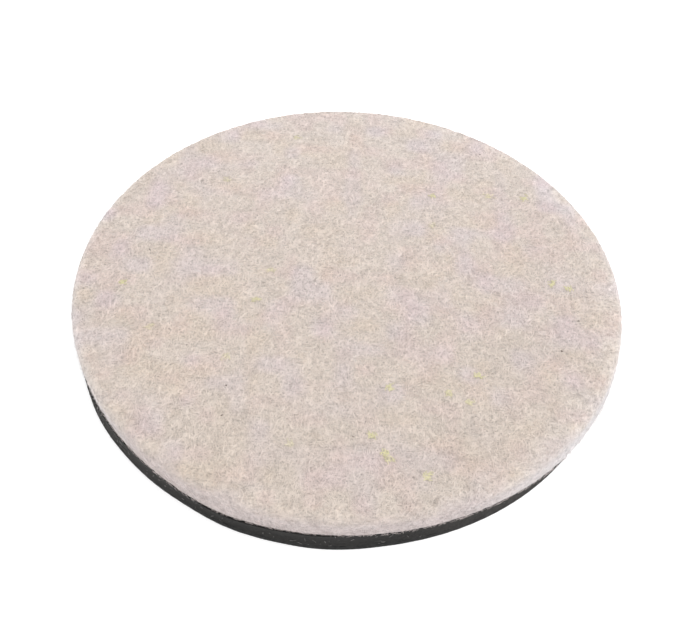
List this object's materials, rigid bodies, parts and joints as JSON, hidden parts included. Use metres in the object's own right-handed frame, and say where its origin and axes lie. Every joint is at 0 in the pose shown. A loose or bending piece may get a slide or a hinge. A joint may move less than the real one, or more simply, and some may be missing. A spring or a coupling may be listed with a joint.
{
  "type": "felt polishing disc",
  "caption": "Round felt polishing disc: a thick pressed-felt face on a foam cushion, with a loop-cloth back that grips a hook-faced pad.",
  "frame": {"origin": "centre of the loop cloth's underside, where the disc rests or meets its backing pad", "axes": "+Z along the disc's axis, from the loop cloth towards the felt's working face; +X and +Y lie in the disc's plane and are interchangeable"},
  "size_m": [0.1, 0.1, 0.0094],
  "materials": {
    "felt": "pressed wool felt, matte, fibrous",
    "adhesive": "thin dried adhesive film",
    "foam": "matte closed-cell foam, fine open cells on the cut edge",
    "loop_cloth": "brushed nylon loops, matte"
  },
  "bodies": {
    "root": {"loop_fabric": "loop_cloth", "loop_adhesive_film": "adhesive", "foam_cushion": "foam", "felt_adhesive_film": "adhesive", "felt_pad": "felt"}
  },
  "joints": []
}
